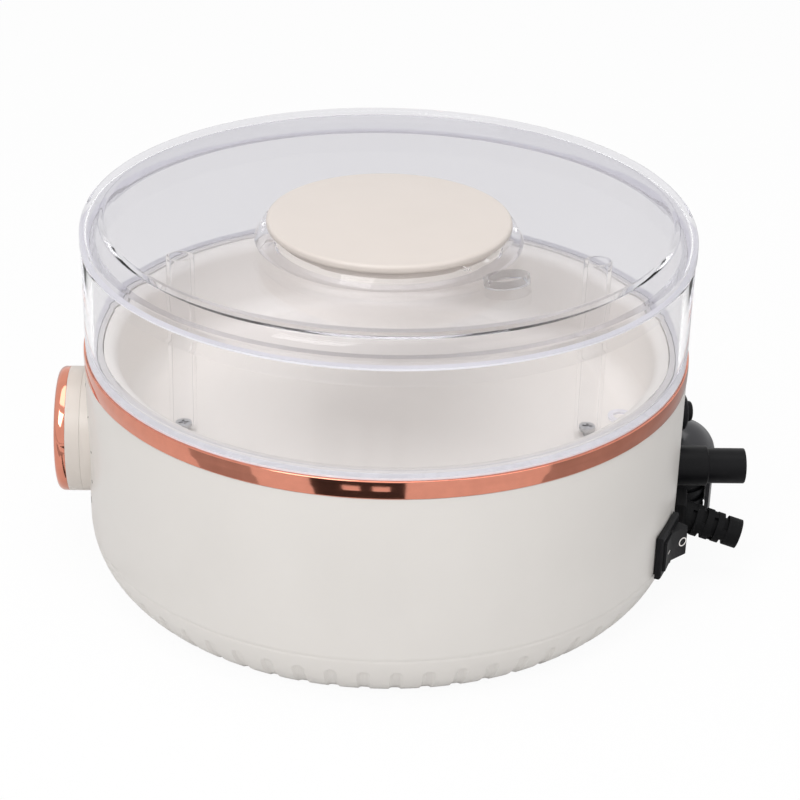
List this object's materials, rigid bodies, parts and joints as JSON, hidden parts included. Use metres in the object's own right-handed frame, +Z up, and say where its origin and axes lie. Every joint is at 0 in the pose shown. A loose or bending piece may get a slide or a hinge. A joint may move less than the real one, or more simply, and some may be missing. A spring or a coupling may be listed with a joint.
{
  "type": "yogurt maker",
  "caption": "Round tabletop yogurt maker: cream base with plated trim ring and control knob, clear chamber wall, clear lift-off lid with a round centre cap, drain spout and switch at the rear.",
  "frame": {"origin": "on the ground under the middle of the round base", "axes": "+Z up, front with the control knob towards -Y, spout and cord side towards +Y"},
  "size_m": [0.2206, 0.2575, 0.139],
  "materials": {
    "cream_plastic": "satin moulded cream plastic",
    "cap_plastic": "satin moulded warm cream plastic",
    "white_plastic": "smooth moulded white plastic",
    "rose_gold": "polished copper-pink plating",
    "clear_plastic": "clear polished polystyrene",
    "clear_silicone": "milky clear silicone",
    "black_rubber": "soft black moulded rubber",
    "black_plastic": "fine-textured black plastic",
    "dark_grey_plastic": "smooth dark grey plastic",
    "grey_plastic": "plain grey plastic",
    "steel": "zinc-plated steel",
    "aluminium": "rolled aluminium",
    "heater_foil": "amber film over etched foil",
    "mica": "pressed mica sheet",
    "circuit_board": "green solder mask",
    "brass": "tinned brass",
    "ceramic": "glazed ceramic"
  },
  "bodies": {
    "base": {"base_shell": "cream_plastic", "drum_band": "cream_plastic", "neck_ring": "cream_plastic", "inner_bowl": "white_plastic", "trim_ring": "rose_gold", "chamber_wall": "clear_plastic", "clear_posts": "clear_plastic", "wall_seal": "clear_silicone", "drain_grommet": "clear_silicone", "rubber_feet": "black_rubber", "strain_relief": "black_rubber", "switch_frame": "black_plastic", "drain_spout": "black_plastic", "spout_nut": "black_plastic", "hood_nozzle": "black_plastic", "reset_bezel": "black_plastic", "reset_nut": "black_plastic", "relief_clamp": "black_plastic", "power_relay": "black_plastic", "reset_switch": "black_plastic", "rear_hood": "dark_grey_plastic", "bottom_cover": "grey_plastic", "drain_elbow": "grey_plastic", "cover_screws": "steel", "post_screws": "steel", "retainer_screws": "steel", "board_screws": "steel", "hood_screws": "steel", "heater_retainer": "steel", "encoder_nut": "steel", "heater_plate": "aluminium", "power_capacitor": "aluminium", "knob_encoder": "aluminium", "heater_element": "heater_foil", "power_transformer": "heater_foil", "heater_insulation": "mica", "power_board": "circuit_board", "control_board": "circuit_board", "switch_terminals": "brass", "heater_leads": "brass", "temperature_sensor": "ceramic", "thermal_fuse": "ceramic"},
    "lid": {"clear_lid": "clear_plastic", "lid_panel": "clear_plastic", "lid_seal": "clear_silicone", "cap_collar": "clear_plastic"},
    "cap": {"centre_cap": "cap_plastic"},
    "knob": {"control_knob": "cream_plastic", "knob_trim": "rose_gold", "knob_shaft": "steel"},
    "rocker": {"switch_rocker": "black_plastic"},
    "reset": {"reset_button": "black_plastic"}
  },
  "joints": [
    {"name": "lid_lift", "type": "slide", "parent": "base", "child": "lid", "axis": [0, 0, 1], "range_m": [0, 0.1]},
    {"name": "cap_lift", "type": "slide", "parent": "lid", "child": "cap", "axis": [0, 0, 1], "range_m": [0, 0.04]},
    {"name": "knob_turn", "type": "hinge", "parent": "base", "child": "knob", "pos_m": [0, -0.111, 0.0486], "axis": [0, -1, 0], "range_deg": [-270, 0]},
    {"name": "rocker_tilt", "type": "hinge", "parent": "base", "child": "rocker", "pos_m": [0.04454, 0.10244, 0.026], "axis": [0, 0, 1], "range_deg": [0, 24]},
    {"name": "reset_press", "type": "slide", "parent": "base", "child": "reset", "axis": [0.0698, -0.9976, 0], "range_m": [0, 0.0016], "stiffness_N_per_m": 300}
  ]
}
